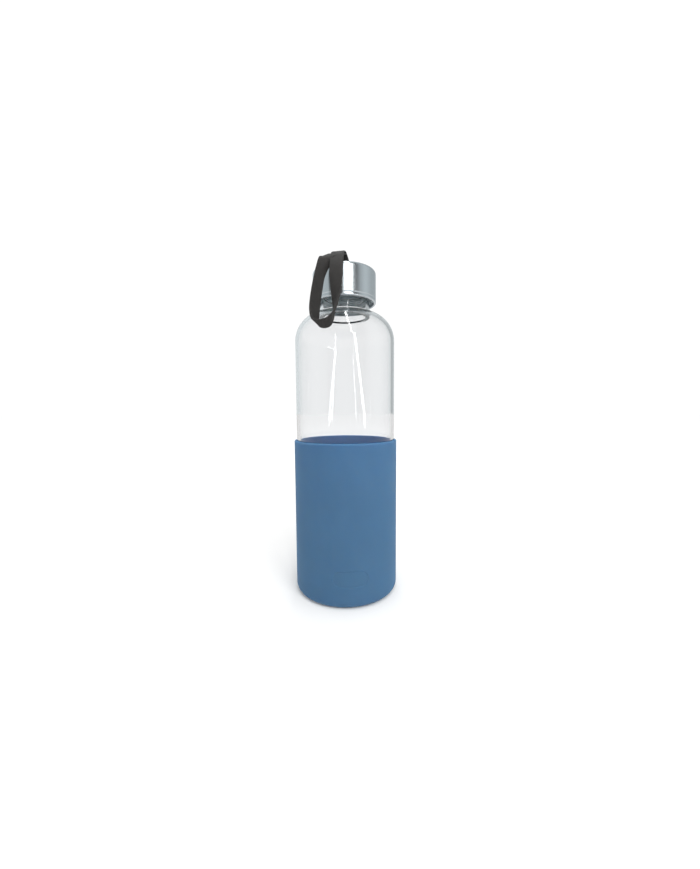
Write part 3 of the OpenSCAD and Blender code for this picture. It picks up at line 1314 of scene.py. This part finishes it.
@dataclass
class Studio:
    """Camera, pale floor and soft light."""

    lens: float = 14.085
    place: tuple[float, float, float] = (0.0, -0.2422, 0.128)
    yaw: float = 0.0133
    pitch: float = -0.0776
    roll: float = -0.0067
    floor_reach: float = 6.0
    white: float = 1.03
    # strength of the glowing grey that is painted in for the floor wherever gloss or glass mirrors it
    floor_glow_in_reflections: float = 0.8
    room_tint: tuple[float, float, float] = (0.92, 0.98, 1.0)
    room: tuple[Point, ...] = (
        (-180, 0.9), (-110, 0.7), (-56, 0.55), (-12, 0.6), (25, 0.4), (30, 0.01), (46, 0.02),
        (54, 0.45), (80, 0.72), (112, 0.5), (145, 0.5), (180, 0.9),
    )

    def camera(self) -> None:
        """Set the camera."""
        data = bpy.data.cameras.new("camera")
        data.lens = self.lens
        data.sensor_width = 36.0
        data.clip_start = 0.005
        data.clip_end = 50.0
        sy, cy, sp, cp = math.sin(self.yaw), math.cos(self.yaw), math.sin(self.pitch), math.cos(self.pitch)
        forward = Vector((sy * cp, cy * cp, sp))
        flat = Vector((cy, -sy, 0.0))
        rise = flat.cross(forward)
        right = flat * math.cos(self.roll) + rise * math.sin(self.roll)
        up = rise * math.cos(self.roll) - flat * math.sin(self.roll)
        turn = Matrix((right, up, -forward)).transposed()
        obj = bpy.data.objects.new("camera", data)
        obj.matrix_world = Matrix.Translation(self.place) @ turn.to_4x4()
        bpy.context.scene.collection.objects.link(obj)
        bpy.context.scene.camera = obj

    def floor(self) -> None:
        """Lay a pale floor with a painted shadow round the bottle and a glowing grey that stands in for it
        in reflections.
        """
        mesh = bpy.data.meshes.new("floor")
        corners = ((-1, -1), (1, -1), (1, 1), (-1, 1))
        mesh.from_pydata([(self.floor_reach * x, self.floor_reach * y, 0) for x, y in corners], [],
                         [(0, 1, 2, 3)])
        s = Shader("pale_floor")
        place = s.node("ShaderNodeTexCoord").outputs["Object"]
        away = Value(s, s.node("ShaderNodeVectorMath", {"operation": "LENGTH"}, {0: place}).outputs["Value"])
        # painted shadow: the floor's colour darkens from 0.985 beyond about 0.8 m to 0.83 next to the bottle
        painted_shadow_fade = s.maths("MINIMUM", s.maths("MAXIMUM", away * 1.6 - 0.3, 0.0), 1.0)
        s.set(Base_Color=s.mixed(painted_shadow_fade + s.noise(3.0) * 0.02, (0.83, 0.83, 0.825), (0.985, 0.985, 0.985)),
              Roughness=1.0, Specular_IOR_Level=0.0)
        # painted reflection: seen in gloss, the floor is a flat glowing grey instead of a lit surface
        grey = s.node("ShaderNodeEmission", {}, {"Strength": self.floor_glow_in_reflections})
        depth = Value(s, s.node("ShaderNodeLightPath").outputs["Glossy Depth"])
        mirrored = s.maths("MINIMUM", depth, 1.0)
        s.show(s.node("ShaderNodeMixShader", {}, {0: mirrored, 1: s.surface.outputs[0], 2: grey.outputs[0]}))
        mesh.materials.append(s.material)
        obj = bpy.data.objects.new("floor", mesh)
        bpy.context.scene.collection.objects.link(obj)

    def lamp(self, name: str, place: Sequence[float], size: Sequence[float], power: float,
             target: Sequence[float] = (0.0, 0.0, 0.11), unseen: bool = False) -> bpy.types.Object:
        """Hang a soft rectangular light that faces the object.

        Args:
            name: the light's name.
            place: its middle.
            size: width and height.
            power: watts.
            target: the point that it faces.
            unseen: keep it out of gloss and glass, so that it only lights matt surfaces.

        Returns:
            The light.
        """
        data = bpy.data.lights.new(name, "AREA")
        data.shape = "RECTANGLE"
        data.size, data.size_y = size
        data.energy = power
        obj = bpy.data.objects.new(name, data)
        obj.location = place
        aim = Vector(target) - Vector(place)
        obj.rotation_euler = aim.to_track_quat("-Z", "Y").to_euler()
        obj.visible_glossy = obj.visible_transmission = not unseen
        bpy.context.scene.collection.objects.link(obj)
        return obj

    def bar(self, name: str, low: Sequence[float], high: Sequence[float], width: float,
            radiance: float) -> None:
        """Hang a thin bar of light from one point to another, facing the object.

        Args:
            name: the light's name.
            low: its lower end.
            high: its upper end.
            width: its width.
            radiance: how bright its face is; the pale floor is about 1.
        """
        along = Vector(high) - Vector(low)
        middle = (Vector(high) + Vector(low)) / 2
        facing = (middle - Vector((0.0, 0.0, 0.14))).normalized()
        side = along.cross(facing).normalized()
        back = side.cross(along.normalized())
        data = bpy.data.lights.new(name, "AREA")
        data.shape = "RECTANGLE"
        data.size, data.size_y = width, along.length
        data.energy = radiance * math.pi * width * along.length
        obj = bpy.data.objects.new(name, data)
        turn = Matrix((side, along.normalized(), back)).transposed()
        obj.matrix_world = Matrix.Translation(middle) @ turn.to_4x4()
        bpy.context.scene.collection.objects.link(obj)

    def world(self) -> None:
        """White surroundings, and the uneven grey room that gloss mirrors."""
        world = bpy.data.worlds.new("studio")
        world.use_nodes = True
        tree = NodeTree(world.node_tree)

        def maths(operation: str, *values: object) -> bpy.types.NodeSocket:
            """Add a Math node.

            Args:
                operation: what it does.
                values: its inputs, in order.

            Returns:
                The result's socket.
            """
            return tree.node("ShaderNodeMath", {"operation": operation}, dict(enumerate(values))).outputs[0]

        way = tree.node("ShaderNodeTexCoord").outputs["Generated"]
        split = tree.node("ShaderNodeSeparateXYZ", {}, {0: way}).outputs
        azimuth = maths("ARCTAN2", split["X"], maths("MULTIPLY", split["Y"], -1.0))
        share = maths("MULTIPLY_ADD", azimuth, 0.5 / math.pi, 0.5)
        stops = [
            (turn / 360 + 0.5, (*(part * level for part in self.room_tint), 1)) for turn, level in self.room
        ]
        levels = tree.node("ShaderNodeValToRGB", {"stops": stops}, {0: share}).outputs["Color"]
        white = tree.node("ShaderNodeBackground", {}, {"Color": (1, 1, 1, 1), "Strength": self.white})
        room = tree.node("ShaderNodeBackground", {}, {"Color": levels})
        mirrored = maths("MINIMUM", tree.node("ShaderNodeLightPath").outputs["Glossy Depth"], 1.0)
        both = {0: mirrored, 1: white.outputs[0], 2: room.outputs[0]}
        mix = tree.node("ShaderNodeMixShader", {}, both)
        tree.node("ShaderNodeOutputWorld", {}, {"Surface": mix.outputs[0]})
        bpy.context.scene.world = world

    def keep_band_on(self, name: str) -> None:
        """Let the cap's light shine on one piece only, so that the glass does not mirror it.

        Args:
            name: the piece's name.
        """
        lit = bpy.data.collections.new("lit_by_cap_band")
        lit.objects.link(bpy.data.objects[name])
        self.band.light_linking.receiver_collection = lit

    def build(self) -> None:
        """Set the camera, floor, surroundings and lights."""
        self.camera()
        self.floor()
        self.world()
        self.lamp("overhead", (0.3, -0.3, 1.7), (2.0, 2.0), 3.0, unseen=True)
        self.lamp("right_key", (0.36, -0.54, 0.6), (0.3, 0.3), 2.2, unseen=True)
        self.band = self.lamp("cap_band", (0.34, -1.38, 0.82), (0.72, 0.32), 3.2, (0.0, 0.0, 0.21))
        self.bar("right_streak", (1.08, -1.04, 0.05), (0.39, -1.45, 0.60), 0.06, 10.0)
        self.bar("right_streak_rise", (0.39, -1.45, 0.60), (0.14, -0.75, 1.45), 0.06, 10.0)
        self.bar("right_streak_over", (0.14, -0.75, 1.45), (-0.05, 0.8, 1.3), 0.06, 10.0)
        self.bar("left_streak", (-0.76, -1.30, 0.07), (-0.51, -1.41, 0.48), 0.035, 8.0)
        bpy.context.scene.view_settings.view_transform = "Standard"


def main() -> None:
    """Build every sub-assembly in order."""
    logging.basicConfig(level=logging.INFO, format="%(name)s: %(message)s")
    studio = Studio()
    studio.build()
    for part in (Sleeve(), Bottle(), Cap(), CarryLoop()):
        part.build()
        LOG.info("%s done", type(part).__name__)
    studio.keep_band_on("cap_shell_steel")


if __name__ == "__main__":
    main()
